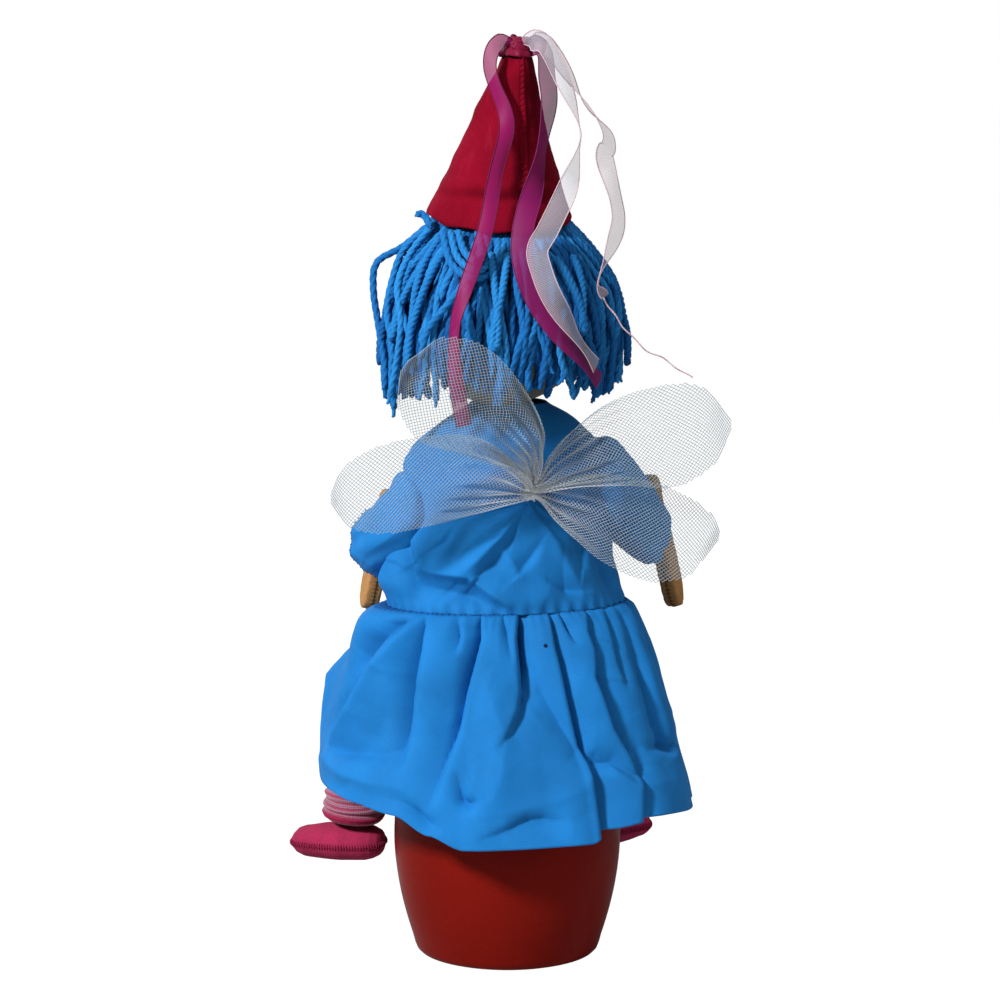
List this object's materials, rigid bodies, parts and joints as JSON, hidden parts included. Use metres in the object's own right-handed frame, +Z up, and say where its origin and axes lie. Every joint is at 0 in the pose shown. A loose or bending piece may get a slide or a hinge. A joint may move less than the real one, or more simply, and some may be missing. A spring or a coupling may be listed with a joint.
{
  "type": "fairy puppet on stand",
  "caption": "Cloth fairy puppet with net wings, yarn hair, ribboned cone hat and blue dress, sitting on a round red pot that serves as its stand.",
  "frame": {"origin": "centre of the pot's flat base face", "axes": "+Z up, the puppet faces -Y, its own left is +X"},
  "size_m": [0.1859, 0.1666, 0.4313],
  "materials": {
    "red_glaze": "satin dark red",
    "wood": "plain turned",
    "blue_cotton": "plain weave cotton",
    "blue_yarn": "plied acrylic yarn",
    "crimson_felt": "short-pile felt",
    "pink_felt": "felt",
    "striped_knit": "fine knit with thin stripes",
    "tan_felt": "two layers of felt",
    "skin_cloth": "smooth knit",
    "calico": "unbleached cotton, stuffed",
    "white_net": "open net",
    "magenta_organza": "sheer ribbon",
    "pale_organza": "sheer ribbon",
    "black_bead": "gloss"
  },
  "bodies": {
    "stand": {"stand_pot": "red_glaze", "stand_cap": "wood", "support_post": "wood"},
    "figure": {"inner_body": "calico", "neck": "skin_cloth", "dress_bodice": "blue_cotton", "dress_skirt": "blue_cotton", "thigh_left": "calico", "thigh_right": "calico", "wing_upper_left": "white_net", "wing_lower_left": "white_net", "wing_upper_right": "white_net", "wing_lower_right": "white_net", "wing_gather": "white_net"},
    "head": {"head": "skin_cloth", "eye_left": "black_bead", "eye_right": "black_bead", "nose": "skin_cloth", "mouth": "crimson_felt", "hair_left": "blue_yarn", "hair_back": "blue_yarn", "hair_right": "blue_yarn", "hair_fringe": "blue_yarn", "hat_cone": "crimson_felt", "ribbon_knot": "magenta_organza", "ribbon_magenta_left": "magenta_organza", "ribbon_magenta_right": "magenta_organza", "ribbon_pale_inner": "pale_organza", "ribbon_pale_outer": "pale_organza", "ribbon_loose_thread": "pale_organza"},
    "arm_left": {"sleeve_left": "blue_cotton", "hand_left": "tan_felt"},
    "arm_right": {"sleeve_right": "blue_cotton", "hand_right": "tan_felt"},
    "leg_left": {"stocking_left": "striped_knit", "shoe_left": "pink_felt"},
    "leg_right": {"stocking_right": "striped_knit", "shoe_right": "pink_felt"}
  },
  "joints": [
    {"name": "figure_lift", "type": "slide", "parent": "stand", "child": "figure", "axis": [0, 0, 1], "range_m": [0, 0.125]},
    {"name": "head_turn", "type": "hinge", "parent": "figure", "child": "head", "pos_m": [0.003, 0, 0.2575], "axis": [0, 0, 1], "range_deg": [-45, 45]},
    {"name": "shoulder_left", "type": "hinge", "parent": "figure", "child": "arm_left", "pos_m": [0.05, 0, 0.217], "axis": [-1, 0, 0], "range_deg": [0, 75]},
    {"name": "shoulder_right", "type": "hinge", "parent": "figure", "child": "arm_right", "pos_m": [-0.05, 0, 0.217], "axis": [-1, 0, 0], "range_deg": [-10, 110]},
    {"name": "knee_left", "type": "hinge", "parent": "figure", "child": "leg_left", "pos_m": [0.058, -0.062, 0.112], "axis": [-0.7303, -0.6832, 0], "range_deg": [0, 70]},
    {"name": "knee_right", "type": "hinge", "parent": "figure", "child": "leg_right", "pos_m": [-0.058, -0.062, 0.112], "axis": [-0.7303, 0.6832, 0], "range_deg": [0, 70]}
  ]
}
